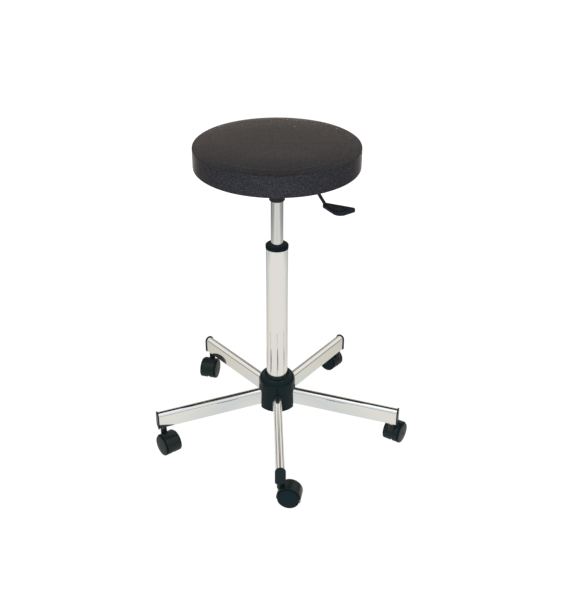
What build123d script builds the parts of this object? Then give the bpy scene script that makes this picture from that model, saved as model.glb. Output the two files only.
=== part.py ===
"""Rolling stool: a round foam seat on a gas spring, a five-leg chromed base and hooded twin-wheel castors.

Millimetres, +Z up. The origin is on the floor, on the column's axis. Leg 1 points along -Y and the legs are
numbered anticlockwise seen from above. Heights are chained from the floor: castor, leg, column, gas spring, seat.
"""
from build123d import *
import math
import os

# Fits between pieces
RUN_CLEARANCE = 0.05        # radial, a shaft in its bore
SIDE_CLEARANCE = 0.3        # between faces that pass each other
COVER_CLEARANCE = 0.5       # between the hub cover's slots and the legs

# Castor wheels and axle
WHEEL_RADIUS = 25.0
WHEEL_WIDTH = 18.0
WHEEL_PROUD = 5.0           # part of the width that stands out of the hood
WHEEL_BEVEL = 2.4
WHEEL_DOME = 0.8            # crown of the plain outer face
WHEEL_RIM = 4.0             # wall of the hollow wheel at its tread
WHEEL_FACE = 3.0            # wall of the hollow wheel at its outer face
WHEEL_HUB_RADIUS = 6.5
WHEEL_GROOVE_WIDTH = 1.6    # groove around the wheel beside the hood's edge
WHEEL_GROOVE_DEPTH = 1.5
AXLE_RADIUS = 3.0

# Castor hood
CASTOR_TRAIL = 21.0         # swivel axis to wheel axle
HOOD_GAP = 0.7              # tread to the inside of the hood
HOOD_WALL = 1.6
HOOD_EDGE_ROUND = 0.7
HOOD_TAIL_ANGLE = 20.0      # degrees the trailing edge reaches below the axle
HOOD_NOSE_ANGLE = 8.0       # the same for the edge under the stem
WEB_WIDTH = 7.0             # plate between the wheels
WEB_RADIUS = 21.5           # its part below the hood's edges
STEM_BOSS_RADIUS = 7.5
STEM_BOSS_DEPTH = 20.0      # boss top to its lower end on the drum
CASTOR_HEADINGS = (-12.0, 56.0, 138.0, 254.0, -54.0)    # degrees from +X, the way each castor trails

# Castor stems
STEM_CIRCLE = 284.5         # column axis to swivel axis
STEM_RADIUS = 5.5
STEM_LENGTH = 24.0          # part inside the leg
STEM_COLLAR_RADIUS = 7.0
STEM_COLLAR_HEIGHT = 3.0
SWIVEL_PIN_RADIUS = 4.0
SWIVEL_PIN_LENGTH = 16.5

# Legs and their end caps
LEG_COUNT = 5
LEG_PAST_STEM = 11.0        # swivel axis to the cut end of a leg
LEG_WIDTH = 20.0
LEG_HEIGHT = 40.0
LEG_WALL = 1.5
LEG_CORNER = 2.5
LEG_FALL = 2.5              # degrees
NECK_HEIGHT = 10.3          # top of the castor hood to the leg's underside at the tip
CAP_FLANGE = 3.0
CAP_LIP = 2.0               # flange past the leg all round
CAP_PLUG = 32.0
CAP_EDGE_ROUND = 0.9

# Column
COLUMN_RADIUS = 25.0
COLUMN_WALL = 2.0
COLUMN_LENGTH = 417.0
COLUMN_BELOW_LEGS = 6.4
SPINDLE_PLATE_HEIGHT = 5.0
BUSH_FLANGE_RADIUS = 25.9
BUSH_FLANGE_HEIGHT = 8.0
BUSH_FLANGE_ROUND = 1.5
BUSH_LENGTH = 84.0          # sleeve inside the column

# Hub cover
HUB_TOP_ABOVE_LEGS = 36.5   # rim around the column above the leg tops at the column
HUB_SHOULDER_RADIUS = 43.4
HUB_SHOULDER_DROP = 20.0    # rim down to the start of the skirt
HUB_SKIRT_RADIUS = 45.5
HUB_BELOW_LEGS = 7.5        # skirt past the legs' underside at the skirt
HUB_WALL = 2.5
HUB_RIM = 1.5               # flat rim around the column
HUB_RIB_WIDTH = 4.0         # short rib above each slot
HUB_RIB_HEIGHT = 9.0
HUB_RIB_PROUD = 1.2

# Gas spring
GAS_RADIUS = 14.0
GAS_WALL = 3.0
GAS_LENGTH = 415.0
GAS_HEAD = 12.0             # solid upper end around the valve
GAS_SHOWN = 106.0           # bright cylinder seen between bush and socket at rest
TRAVEL_UP = 155.0
GLAND_LENGTH = 20.0
PISTON_HEIGHT = 12.0
PISTON_MARGIN = 4.0         # piston to gland with the seat at its highest
PISTON_GROOVE = 2.0
ROD_RADIUS = 5.0
ROD_BELOW_CLIP = 4.0
ROD_NECK_RADIUS = 3.5       # rod end peened over the piston
ROD_NECK_RISE = 3.0
BUTTON_RADIUS = 4.0
BUTTON_RISE = 6.0
BUTTON_INSIDE = 4.0         # valve pin inside the cylinder below the head
BUTTON_DOME = 6.0           # radius of the pin's round top

# Thrust bearing at the foot of the rod
RACE_RADIUS = 12.0
RACE_HEIGHT = 3.0
BALL_RADIUS = 2.4
BALL_COUNT = 9
BALL_CIRCLE = 8.6
BALL_SEAT = 0.8             # depth of a race's groove
CAGE_HEIGHT = 1.6
BUMPER_RADIUS = 13.0
BUMPER_HEIGHT = 16.0
CLIP_WASHER_RADIUS = 10.0
CLIP_WASHER_HEIGHT = 2.0
CLIP_HEIGHT = 1.4
CLIP_RADIUS = 8.0
CLIP_GROOVE = 1.0

# Socket and pressed plate under the seat
TAPER_HALF_ANGLE = 1.2      # degrees
SOCKET_RADIUS = 17.3
SOCKET_BELOW_PAN = 46.0
SOCKET_ABOVE_PAN = 4.5      # stands into the pan
SOCKET_CHAMFER = 1.2
PLATE_SIZE = 170.0
PLATE_CORNER = 24.0
PLATE_THICKNESS = 2.5
PAN_LENGTH = 124.0          # along the lever, at the top
PAN_WIDTH = 90.0
PAN_CORNER = 16.0
PAN_DRAFT = 8.0             # inset of the floor on each side
PAN_DEPTH = 32.5
PAN_BEND = 3.0              # bend between flange and pan
BOLT_SPACING = 140.0
BOLT_RADIUS = 3.0
BOLT_HEAD_RADIUS = 5.8
BOLT_HEAD_HEIGHT = 4.2
WASHER_RADIUS = 8.0
WASHER_HEIGHT = 1.6

# Lever
LEVER_HEADING = -39.5       # degrees from +X
LEVER_PIVOT = 32.0          # column axis to pivot pin
LEVER_BAR_WIDTH = 6.0
LEVER_BAR_HEIGHT = 12.0
LEVER_BAR_INNER = 6.0       # bar past the column axis
LEVER_BAR_OUTER = 17.0      # bar past the pivot
LEVER_PIN_RADIUS = 3.0
LEVER_PIN_HEAD = 1.5
LEVER_ROD_RADIUS = 3.5
LEVER_BEND_REACH = 92.0
LEVER_BEND_RADIUS = 14.0
LEVER_LIFT = 5.5            # degrees the lever turns
BRACKET_LENGTH = 18.0
BRACKET_EAR = 3.0
BRACKET_HEAD = 7.0          # ear above the pin's axis
PADDLE_DROP = 41.5          # lever axis down to the paddle
PADDLE_REACH = 129.0        # column axis to the bend at the paddle
PADDLE_LENGTH = 61.0        # from that bend to the paddle's end
PADDLE_NECK_RADIUS = 7.0
PADDLE_LOBE_RADIUS = 18.0   # broad round side that the hand finds first
PADDLE_LOBE_REACH = 37.5    # bend to the lobe's middle
PADDLE_LOBE_SIDE = 3.0      # lobe's middle beside the lever's line
PADDLE_CORNER = 5.0
PADDLE_CORNER_SIDE = 16.0   # corner's middle beside the lever's line, on the other side
PADDLE_THICKNESS = 9.5
PADDLE_EDGE_ROUND = 2.8
PADDLE_ROD_COVER = 14.0     # rod's end to the paddle's end

# Seat
SEAT_RADIUS = 178.5
SEAT_THICKNESS = 53.5
SEAT_SHOULDER_WIDTH = 29.0
SEAT_SHOULDER_DROP = 10.0
SEAT_BOTTOM_ROUND = 8.0
SEAT_FLAT_RADIUS = 95.0     # level middle of the top
SEAT_CROWN = 1.2            # fall from the level middle to the shoulder
BOARD_RADIUS = 148.0
BOARD_THICKNESS = 12.0
TEE_NUT_RADIUS = 5.0
TEE_NUT_FLANGE_RADIUS = 11.0
TEE_NUT_FLANGE = 1.5
BOLT_PAST_TEE_NUT = 2.0

# Heights worked out from the floor up
leg_end = STEM_CIRCLE + LEG_PAST_STEM
hood_inner = WHEEL_RADIUS + HOOD_GAP
hood_outer = hood_inner + HOOD_WALL
leg_slope = math.tan(math.radians(LEG_FALL))
leg_tip_z = WHEEL_RADIUS + hood_outer + NECK_HEIGHT


def leg_under_z(radius):
    """Height of a leg's underside at a distance from the column's axis."""
    return leg_tip_z + (leg_end - radius) * leg_slope


column_bottom = leg_under_z(COLUMN_RADIUS) - COLUMN_BELOW_LEGS
column_top = column_bottom + COLUMN_LENGTH
bush_top = column_top + BUSH_FLANGE_HEIGHT
socket_bottom = bush_top + GAS_SHOWN
pan_bottom = socket_bottom + SOCKET_BELOW_PAN
socket_top = pan_bottom + SOCKET_ABOVE_PAN
seat_bottom = pan_bottom + PAN_DEPTH
seat_top = seat_bottom + SEAT_THICKNESS
gas_top = socket_top + SIDE_CLEARANCE
gas_bottom = gas_top - GAS_LENGTH
button_top = gas_top + BUTTON_RISE
lever_z = button_top + SIDE_CLEARANCE + LEVER_BAR_HEIGHT / 2
plate_z = column_bottom + SPINDLE_PLATE_HEIGHT
leg_angles = [-90 + 360 / LEG_COUNT * k for k in range(LEG_COUNT)]


def rod_between(radius, low, high):
    """Upright round bar on the Z axis."""
    return Pos(0, 0, low) * Cylinder(radius, high - low, align=(Align.CENTER, Align.CENTER, Align.MIN))


def ring_between(outer, inner, low, high):
    """Upright ring on the Z axis."""
    return rod_between(outer, low, high) - rod_between(inner, low, high)


def bar_along_y(radius, low, high):
    """Round bar on the Y axis."""
    return Rot(-90, 0, 0) * rod_between(radius, low, high)


# Base: legs and end caps


def leg_section(grow):
    """Leg profile on the plane across the leg at the column's axis: flat sides and foot, half-round top."""
    half = LEG_WIDTH / 2 + grow
    low = leg_under_z(0) - grow
    spring = leg_under_z(0) + LEG_HEIGHT - LEG_WIDTH / 2
    sides = Polyline((-half, spring), (-half, low), (half, low), (half, spring))
    arch = ThreePointArc((half, spring), (0, spring + half), (-half, spring))
    face = make_face(sides + arch)
    face = fillet(face.vertices().group_by(Axis.Y)[0], LEG_CORNER + grow)
    return Plane.YZ * face


def leg_run(grow, start, end):
    """The leg's profile carried down its slope between two distances from the column's axis."""
    run = end - start
    begin = Pos(start, 0, -start * leg_slope) * leg_section(grow)
    return Part() + Solid.extrude(begin.face(), Vector(run, 0, -run * leg_slope))


def make_leg():
    """Chromed tube that butts on the column and has a hole for the castor's stem."""
    tube = leg_run(0, 0, leg_end) - leg_run(-LEG_WALL, 0, leg_end)
    stem_hole = rod_between(STEM_RADIUS, leg_tip_z - LEG_WALL, leg_under_z(0))
    return tube - rod_between(COLUMN_RADIUS, 0, column_top) - Pos(STEM_CIRCLE, 0, 0) * stem_hole


def make_end_cap():
    """Plastic plug in the leg's end, with a lipped flange and the bore that holds the castor's stem."""
    flange = leg_run(CAP_LIP, leg_end, leg_end + CAP_FLANGE)
    flange = fillet(flange.faces().sort_by(Axis.X)[-1].edges(), CAP_EDGE_ROUND)
    plug = leg_run(-LEG_WALL, leg_end - CAP_PLUG, leg_end)
    bore = rod_between(STEM_RADIUS, leg_tip_z - LEG_WALL, stem_seat_z + STEM_LENGTH)
    return flange + plug - Pos(STEM_CIRCLE, 0, 0) * bore


# The stem's collar bears on the lowest point of the leg's sloping underside above it
stem_seat_z = leg_under_z(STEM_CIRCLE + STEM_COLLAR_RADIUS)
collar_z = stem_seat_z - STEM_COLLAR_HEIGHT
boss_top = collar_z - SIDE_CLEARANCE


def make_stem():
    """Castor stem: grip end in the leg, collar, and the pin that the hood swivels on."""
    grip = rod_between(STEM_RADIUS, stem_seat_z, stem_seat_z + STEM_LENGTH)
    collar = rod_between(STEM_COLLAR_RADIUS, collar_z, stem_seat_z)
    pin = rod_between(SWIVEL_PIN_RADIUS, boss_top - SWIVEL_PIN_LENGTH, collar_z)
    return grip + collar + pin


# Base: column and hub


def make_column_tube():
    """Chromed outer tube, open at both ends."""
    return ring_between(COLUMN_RADIUS, COLUMN_RADIUS - COLUMN_WALL, column_bottom, column_top)


def make_spindle_plate():
    """Floor plate welded into the column's foot, with the hole that the piston rod turns in."""
    return ring_between(COLUMN_RADIUS - COLUMN_WALL, ROD_RADIUS + RUN_CLEARANCE, column_bottom, plate_z)


def make_guide_bush():
    """Flanged plastic bush in the column's mouth."""
    flange = rod_between(BUSH_FLANGE_RADIUS, column_top, bush_top)
    flange = fillet(flange.edges().sort_by(Axis.Z)[-1], BUSH_FLANGE_ROUND)
    sleeve = rod_between(COLUMN_RADIUS - COLUMN_WALL, column_top - BUSH_LENGTH, column_top)
    return flange + sleeve - rod_between(GAS_RADIUS + RUN_CLEARANCE, 0, bush_top)


hub_rim_z = leg_under_z(COLUMN_RADIUS) + LEG_HEIGHT + HUB_TOP_ABOVE_LEGS
hub_shoulder_z = hub_rim_z - HUB_SHOULDER_DROP
hub_foot_z = leg_under_z(HUB_SKIRT_RADIUS) - HUB_BELOW_LEGS


def hub_bell(inset):
    """Solid bell: flat rim, quarter-ellipse shoulder and slightly flared skirt."""
    rim_radius = COLUMN_RADIUS + HUB_RIM
    shoulder = HUB_SHOULDER_RADIUS - inset
    rim_z = hub_rim_z - inset
    dome = EllipticalCenterArc(
        (rim_radius, hub_shoulder_z), shoulder - rim_radius, rim_z - hub_shoulder_z, start_angle=0, arc_size=90
    )
    foot = Polyline(
        (rim_radius, rim_z), (0, rim_z), (0, hub_foot_z), (HUB_SKIRT_RADIUS - inset, hub_foot_z),
        (shoulder, hub_shoulder_z)
    )
    return revolve(Plane.XZ * make_face(dome + foot), Axis.Z)


def make_hub_cover():
    """Moulded bell over the welds, with an arched slot for each leg and a short rib above it."""
    cover = hub_bell(0) - hub_bell(HUB_WALL) - rod_between(COLUMN_RADIUS + SIDE_CLEARANCE, 0, hub_rim_z)
    slot_low = leg_run(COVER_CLEARANCE, COLUMN_RADIUS, 2 * HUB_SKIRT_RADIUS)
    slot_width = LEG_WIDTH + 2 * COVER_CLEARANCE
    foot_cut = Pos(COLUMN_RADIUS, 0, hub_foot_z) * Box(
        HUB_SKIRT_RADIUS, slot_width, HUB_BELOW_LEGS + LEG_HEIGHT / 2, align=(Align.MIN, Align.CENTER, Align.MIN)
    )
    rib_low = leg_under_z(HUB_SKIRT_RADIUS) + LEG_HEIGHT + 2 * COVER_CLEARANCE
    rib_block = Pos(COLUMN_RADIUS, 0, rib_low) * Box(
        HUB_SKIRT_RADIUS, HUB_RIB_WIDTH, HUB_RIB_HEIGHT, align=(Align.MIN, Align.CENTER, Align.MIN)
    )
    rib = rib_block & (hub_bell(-HUB_RIB_PROUD) - hub_bell(HUB_WALL / 2))
    for angle in leg_angles:
        cover = cover - Rot(0, 0, angle) * (slot_low + foot_cut) + Rot(0, 0, angle) * rib
    return cover


# Spindle: thrust bearing and piston

race_low_z = plate_z
ball_z = race_low_z + RACE_HEIGHT - BALL_SEAT + BALL_RADIUS + RUN_CLEARANCE
race_high_z = ball_z + BALL_RADIUS + RUN_CLEARANCE - BALL_SEAT
bumper_z = race_high_z + RACE_HEIGHT
washer_top = column_bottom - RUN_CLEARANCE
clip_top = washer_top - CLIP_WASHER_HEIGHT
rod_foot = clip_top - CLIP_HEIGHT - ROD_BELOW_CLIP
piston_z = gas_bottom + GLAND_LENGTH + TRAVEL_UP + PISTON_MARGIN
gas_bore = GAS_RADIUS - GAS_WALL


def ball_track():
    """Round groove that the balls run in, as a full ring."""
    return Pos(0, 0, ball_z) * Torus(BALL_CIRCLE, BALL_RADIUS + RUN_CLEARANCE)


def make_race(low):
    """One grooved washer of the thrust bearing."""
    return ring_between(RACE_RADIUS, ROD_RADIUS + SIDE_CLEARANCE, low, low + RACE_HEIGHT) - ball_track()


def ball_places():
    """Places of the balls around the rod."""
    return PolarLocations(BALL_CIRCLE, BALL_COUNT)


def make_thrust_balls():
    """The balls, one solid each."""
    return [Pos(0, 0, ball_z) * place * Sphere(BALL_RADIUS) for place in ball_places()]


def make_ball_cage():
    """Flat ring with a round pocket for each ball."""
    low = ball_z - CAGE_HEIGHT / 2
    cage = ring_between(RACE_RADIUS, ROD_RADIUS + SIDE_CLEARANCE, low, low + CAGE_HEIGHT)
    for place in ball_places():
        cage -= Pos(0, 0, ball_z) * place * Cylinder(BALL_RADIUS + RUN_CLEARANCE, 2 * CAGE_HEIGHT)
    return cage


def make_rubber_bumper():
    """Rubber ring that stops the cylinder at the bottom of its travel."""
    return ring_between(BUMPER_RADIUS, ROD_RADIUS, bumper_z, bumper_z + BUMPER_HEIGHT)


def make_piston_rod():
    """Rod from the clip below the spindle plate up to the piston."""
    rod = rod_between(ROD_RADIUS, rod_foot, piston_z)
    rod += rod_between(ROD_NECK_RADIUS, piston_z, piston_z + PISTON_HEIGHT + ROD_NECK_RISE)
    return rod - ring_between(ROD_RADIUS, ROD_RADIUS - CLIP_GROOVE, clip_top - CLIP_HEIGHT, clip_top)


def make_piston():
    """Piston with a seal groove, on the rod's neck."""
    radius = gas_bore - RUN_CLEARANCE
    groove_low = piston_z + PISTON_HEIGHT / 3
    groove_high = piston_z + PISTON_HEIGHT * 2 / 3
    body = ring_between(radius, ROD_NECK_RADIUS, piston_z, piston_z + PISTON_HEIGHT)
    return body - ring_between(radius, radius - PISTON_GROOVE, groove_low, groove_high)


def make_clip_washer():
    """Washer under the spindle plate."""
    return ring_between(CLIP_WASHER_RADIUS, ROD_RADIUS + RUN_CLEARANCE, clip_top, washer_top)


def make_retaining_clip():
    """Open spring clip in the rod's groove."""
    clip = ring_between(CLIP_RADIUS, ROD_RADIUS - CLIP_GROOVE, clip_top - CLIP_HEIGHT, clip_top)
    mouth = Pos(0, 0, clip_top - CLIP_HEIGHT) * Box(
        CLIP_RADIUS, ROD_RADIUS, CLIP_HEIGHT, align=(Align.MIN, Align.CENTER, Align.MIN)
    )
    return clip - mouth


# Seat: gas cylinder, socket and plate

taper_slope = math.tan(math.radians(TAPER_HALF_ANGLE))


def taper_cone(top):
    """Solid taper that starts at full size at the socket's mouth."""
    height = top - socket_bottom
    cone = Cone(GAS_RADIUS, GAS_RADIUS - height * taper_slope, height, align=(Align.CENTER, Align.CENTER, Align.MIN))
    return Pos(0, 0, socket_bottom) * cone


def make_gas_cylinder():
    """Bright cylinder, bored for the piston, with a tapered head and the valve's bore."""
    body = rod_between(GAS_RADIUS, gas_bottom, socket_bottom) + taper_cone(gas_top)
    bore = rod_between(gas_bore, gas_bottom, gas_top - GAS_HEAD)
    return body - bore - rod_between(BUTTON_RADIUS + RUN_CLEARANCE, gas_bottom, gas_top)


def make_rod_gland():
    """Seal and guide of the piston rod in the cylinder's lower end."""
    return ring_between(gas_bore, ROD_RADIUS + RUN_CLEARANCE, gas_bottom, gas_bottom + GLAND_LENGTH)


def make_taper_socket():
    """Steel sleeve with a tapered bore, welded through the pan's floor."""
    sleeve = rod_between(SOCKET_RADIUS, socket_bottom, socket_top)
    sleeve = chamfer(sleeve.edges().sort_by(Axis.Z)[0], SOCKET_CHAMFER)
    return sleeve - taper_cone(gas_top)


def on_lever(shape):
    """Turns a shape made along +X to the lever's heading."""
    return Rot(0, 0, LEVER_HEADING) * shape


def pan_loft(inset, floor):
    """Tapered pan from the plate's top face down to a floor height, drawn in by an inset."""
    top = RectangleRounded(PAN_LENGTH - 2 * inset, PAN_WIDTH - 2 * inset, PAN_CORNER - inset)
    low = RectangleRounded(
        PAN_LENGTH - 2 * PAN_DRAFT - 2 * inset, PAN_WIDTH - 2 * PAN_DRAFT - 2 * inset, PAN_CORNER - inset
    )
    return loft([Pos(0, 0, floor) * low, Pos(0, 0, seat_bottom) * top])


def bolt_places():
    """The four bolts on the plate, in the lever's frame."""
    return GridLocations(BOLT_SPACING, BOLT_SPACING, 2, 2)


def is_pan_edge(edge):
    """True for the edges where the pan leaves the flange, which lie inside the flange's outline."""
    centre = edge.center()
    return max(abs(centre.X), abs(centre.Y)) < (PAN_LENGTH + PLATE_SIZE) / 4


def make_seat_plate():
    """Pressed plate: a flange on the seat board and a pan that houses the lever."""
    under = seat_bottom - PLATE_THICKNESS
    flange = Pos(0, 0, under) * extrude(RectangleRounded(PLATE_SIZE, PLATE_SIZE, PLATE_CORNER), PLATE_THICKNESS)
    plate = flange + pan_loft(0, pan_bottom)
    inner_edges = [e for e in plate.edges().filter_by_position(Axis.Z, under, under) if is_pan_edge(e)]
    plate = fillet(inner_edges, PAN_BEND)
    plate -= pan_loft(PLATE_THICKNESS, pan_bottom + PLATE_THICKNESS)
    plate -= rod_between(SOCKET_RADIUS, pan_bottom, socket_top)
    slot_width = 2 * (LEVER_ROD_RADIUS + 2 * SIDE_CLEARANCE) + LEVER_BAR_WIDTH / 2
    slot_low = lever_z - LEVER_ROD_RADIUS - 2 * SIDE_CLEARANCE
    rod_rise = (PAN_LENGTH / 2 - LEVER_PIVOT) * math.tan(math.radians(LEVER_LIFT))
    slot_height = 2 * (LEVER_ROD_RADIUS + 2 * SIDE_CLEARANCE) + rod_rise
    plate -= Pos(LEVER_PIVOT, 0, slot_low) * Box(
        PAN_LENGTH, slot_width, slot_height, align=(Align.MIN, Align.CENTER, Align.MIN)
    )
    for place in bolt_places():
        plate -= place * rod_between(BOLT_RADIUS, under, seat_bottom)
    return on_lever(plate)


def make_plate_bolts():
    """Hexagon bolts up through the plate into the tee nuts."""
    head_top = seat_bottom - PLATE_THICKNESS - WASHER_HEIGHT
    tip = seat_bottom + BOARD_THICKNESS + TEE_NUT_FLANGE + BOLT_PAST_TEE_NUT
    head = extrude(Pos(0, 0, head_top - BOLT_HEAD_HEIGHT) * RegularPolygon(BOLT_HEAD_RADIUS, 6), BOLT_HEAD_HEIGHT)
    bolt = head + rod_between(BOLT_RADIUS, head_top, tip)
    return [on_lever(place * bolt) for place in bolt_places()]


def make_bolt_washers():
    """Washers between the bolt heads and the plate."""
    top = seat_bottom - PLATE_THICKNESS
    washer = ring_between(WASHER_RADIUS, BOLT_RADIUS, top - WASHER_HEIGHT, top)
    return [on_lever(place * washer) for place in bolt_places()]


def make_tee_nuts():
    """Flanged nuts pressed into the board from above."""
    board_top = seat_bottom + BOARD_THICKNESS
    barrel = rod_between(TEE_NUT_RADIUS, seat_bottom, board_top)
    flange = rod_between(TEE_NUT_FLANGE_RADIUS, board_top, board_top + TEE_NUT_FLANGE)
    nut = barrel + flange - rod_between(BOLT_RADIUS, seat_bottom, board_top + TEE_NUT_FLANGE)
    return [on_lever(place * nut) for place in bolt_places()]


def make_seat_board():
    """Plywood disc that the foam is moulded around."""
    board = rod_between(BOARD_RADIUS, seat_bottom, seat_bottom + BOARD_THICKNESS)
    for place in bolt_places():
        board -= on_lever(place * rod_between(TEE_NUT_RADIUS, seat_bottom, seat_bottom + BOARD_THICKNESS))
    return board


def make_seat_cushion():
    """Moulded foam seat: level middle, slight crown, elliptical shoulder, upright side, rounded foot."""
    crown_z = seat_top - SEAT_CROWN
    shoulder_radius = SEAT_RADIUS - SEAT_SHOULDER_WIDTH
    shoulder_z = crown_z - SEAT_SHOULDER_DROP
    foot_radius = SEAT_RADIUS - SEAT_BOTTOM_ROUND
    foot_z = seat_bottom + SEAT_BOTTOM_ROUND
    shoulder = EllipticalCenterArc(
        (shoulder_radius, shoulder_z), SEAT_SHOULDER_WIDTH, SEAT_SHOULDER_DROP, start_angle=0, arc_size=90
    )
    crown = TangentArc((SEAT_FLAT_RADIUS, seat_top), (shoulder_radius, crown_z), tangent=(1, 0))
    middle = Polyline((SEAT_FLAT_RADIUS, seat_top), (0, seat_top), (0, seat_bottom), (foot_radius, seat_bottom))
    foot = RadiusArc((foot_radius, seat_bottom), (SEAT_RADIUS, foot_z), -SEAT_BOTTOM_ROUND)
    side = Line((SEAT_RADIUS, foot_z), (SEAT_RADIUS, shoulder_z))
    foam = revolve(Plane.XZ * make_face(shoulder + crown + middle + foot + side), Axis.Z)
    board_top = seat_bottom + BOARD_THICKNESS
    flange_top = board_top + TEE_NUT_FLANGE
    foam -= rod_between(BOARD_RADIUS, seat_bottom, board_top)
    pocket = rod_between(TEE_NUT_FLANGE_RADIUS, board_top, flange_top)
    pocket += rod_between(BOLT_RADIUS, flange_top, flange_top + BOLT_PAST_TEE_NUT)
    for place in bolt_places():
        foam -= on_lever(place * pocket)
    return foam


# Lever and valve button

bracket_foot = pan_bottom + PLATE_THICKNESS
bracket_half = LEVER_BAR_WIDTH / 2 + SIDE_CLEARANCE + BRACKET_EAR
paddle_z = lever_z - PADDLE_DROP


def make_lever_bracket():
    """Two ears on a foot, welded to the pan's floor, that carry the lever's pin."""
    height = lever_z + BRACKET_HEAD - bracket_foot
    block = Pos(LEVER_PIVOT, 0, bracket_foot) * Box(
        BRACKET_LENGTH, 2 * bracket_half, height, align=(Align.CENTER, Align.CENTER, Align.MIN)
    )
    block = fillet(block.edges().filter_by(Axis.Y).group_by(Axis.Z)[-1], BRACKET_HEAD - SIDE_CLEARANCE)
    gap = Pos(LEVER_PIVOT, 0, bracket_foot + PLATE_THICKNESS) * Box(
        2 * BRACKET_LENGTH, LEVER_BAR_WIDTH + 2 * SIDE_CLEARANCE, 2 * height,
        align=(Align.CENTER, Align.CENTER, Align.MIN)
    )
    pin_hole = Pos(LEVER_PIVOT, 0, lever_z) * bar_along_y(LEVER_PIN_RADIUS, -bracket_half, bracket_half)
    return on_lever(block - gap - pin_hole)


def make_lever_pin():
    """Headed pin through the ears and the lever."""
    pin = bar_along_y(LEVER_PIN_RADIUS, -bracket_half, bracket_half + LEVER_PIN_HEAD)
    head = bar_along_y(LEVER_PIN_RADIUS + LEVER_PIN_HEAD, -bracket_half - LEVER_PIN_HEAD, -bracket_half)
    return on_lever(Pos(LEVER_PIVOT, 0, lever_z) * (pin + head))


def lever_rod():
    """Round part of the lever: out of the pan, down a slope and level again inside the paddle."""
    path = Plane.XZ * FilletPolyline(
        (LEVER_PIVOT + (BRACKET_LENGTH / 2 + LEVER_BAR_OUTER) / 2, lever_z),
        (LEVER_BEND_REACH, lever_z),
        (PADDLE_REACH, paddle_z),
        (PADDLE_REACH + PADDLE_LENGTH - PADDLE_ROD_COVER, paddle_z),
        radius=LEVER_BEND_RADIUS,
    )
    section = Plane(origin=path @ 0, z_dir=path % 0) * Circle(LEVER_ROD_RADIUS)
    return sweep(section, path)


def make_lever_arm():
    """Steel lever: flattened bar over the valve and around the pin, round rod outside."""
    inner = -LEVER_BAR_INNER
    length = LEVER_PIVOT + LEVER_BAR_OUTER - inner
    bar = Pos(inner, 0, lever_z) * Box(
        length, LEVER_BAR_WIDTH, LEVER_BAR_HEIGHT, align=(Align.MIN, Align.CENTER, Align.CENTER)
    )
    upper_corners = bar.edges().filter_by(Axis.Y).group_by(Axis.Z)[-1]
    bar = fillet(upper_corners, LEVER_BAR_HEIGHT / 3)
    eye = Pos(LEVER_PIVOT, 0, lever_z) * bar_along_y(
        LEVER_PIN_RADIUS + RUN_CLEARANCE, -LEVER_BAR_WIDTH, LEVER_BAR_WIDTH
    )
    return on_lever(bar + lever_rod() - eye)


def make_lever_paddle():
    """Fan-shaped plastic paddle moulded around the lever's end."""
    corner_reach = PADDLE_REACH + PADDLE_LENGTH - PADDLE_CORNER
    circles = Pos(PADDLE_REACH, 0) * Circle(PADDLE_NECK_RADIUS)
    circles += Pos(PADDLE_REACH + PADDLE_LOBE_REACH, -PADDLE_LOBE_SIDE) * Circle(PADDLE_LOBE_RADIUS)
    circles += Pos(corner_reach, PADDLE_CORNER_SIDE) * Circle(PADDLE_CORNER)
    plan = make_hull(circles.edges())
    slab = Pos(0, 0, paddle_z - PADDLE_THICKNESS / 2) * extrude(plan, PADDLE_THICKNESS)
    rims = slab.faces().filter_by(Axis.Z).edges()
    return on_lever(fillet(rims, PADDLE_EDGE_ROUND) - lever_rod())


def make_release_button():
    """Valve pin with a round top that the lever presses."""
    pin = rod_between(BUTTON_RADIUS, gas_top - GAS_HEAD - BUTTON_INSIDE, button_top)
    return pin & Pos(0, 0, button_top - BUTTON_DOME) * (Sphere(BUTTON_DOME) + rod_between(BUTTON_DOME, -GAS_LENGTH, 0))


# Castors, made with the swivel on the Z axis and the wheels trailing along +X

wheel_start = WEB_WIDTH / 2 + SIDE_CLEARANCE
wheel_end = wheel_start + WHEEL_WIDTH
hood_half = wheel_end - WHEEL_PROUD
to_axle = Pos(CASTOR_TRAIL, 0, WHEEL_RADIUS)


def swept_round_axle(face):
    """Turns a profile about the axle through the hood's arc, from its tail over the top to its nose."""
    arc = revolve(face, Axis((0, 0, 0), (0, -1, 0)), revolution_arc=180 + HOOD_TAIL_ANGLE + HOOD_NOSE_ANGLE)
    return Rot(0, HOOD_TAIL_ANGLE, 0) * arc


def make_castor_hood():
    """Moulded hood: half drum over the wheels, round web between them and stem boss."""
    wall = RectangleRounded(HOOD_WALL, 2 * hood_half, HOOD_EDGE_ROUND)
    drum = swept_round_axle(Pos(hood_inner + HOOD_WALL / 2, 0) * wall)
    reach = hood_inner + HOOD_WALL / 2
    web = swept_round_axle(Pos(reach / 2, 0) * Rectangle(reach, WEB_WIDTH))
    web += bar_along_y(WEB_RADIUS, -WEB_WIDTH / 2, WEB_WIDTH / 2)
    web -= bar_along_y(AXLE_RADIUS, -WEB_WIDTH, WEB_WIDTH)
    boss = rod_between(STEM_BOSS_RADIUS, boss_top - STEM_BOSS_DEPTH, boss_top)
    boss -= to_axle * bar_along_y(hood_inner, -hood_half, hood_half)
    bore = rod_between(SWIVEL_PIN_RADIUS + RUN_CLEARANCE, boss_top - SWIVEL_PIN_LENGTH - SIDE_CLEARANCE, boss_top)
    return to_axle * (drum + web) + boss - bore


def make_castor_axle():
    """Steel axle, fixed in the web and ending inside both wheels."""
    end = wheel_end - WHEEL_FACE - SIDE_CLEARANCE
    return to_axle * bar_along_y(AXLE_RADIUS, -end, end)


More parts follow.
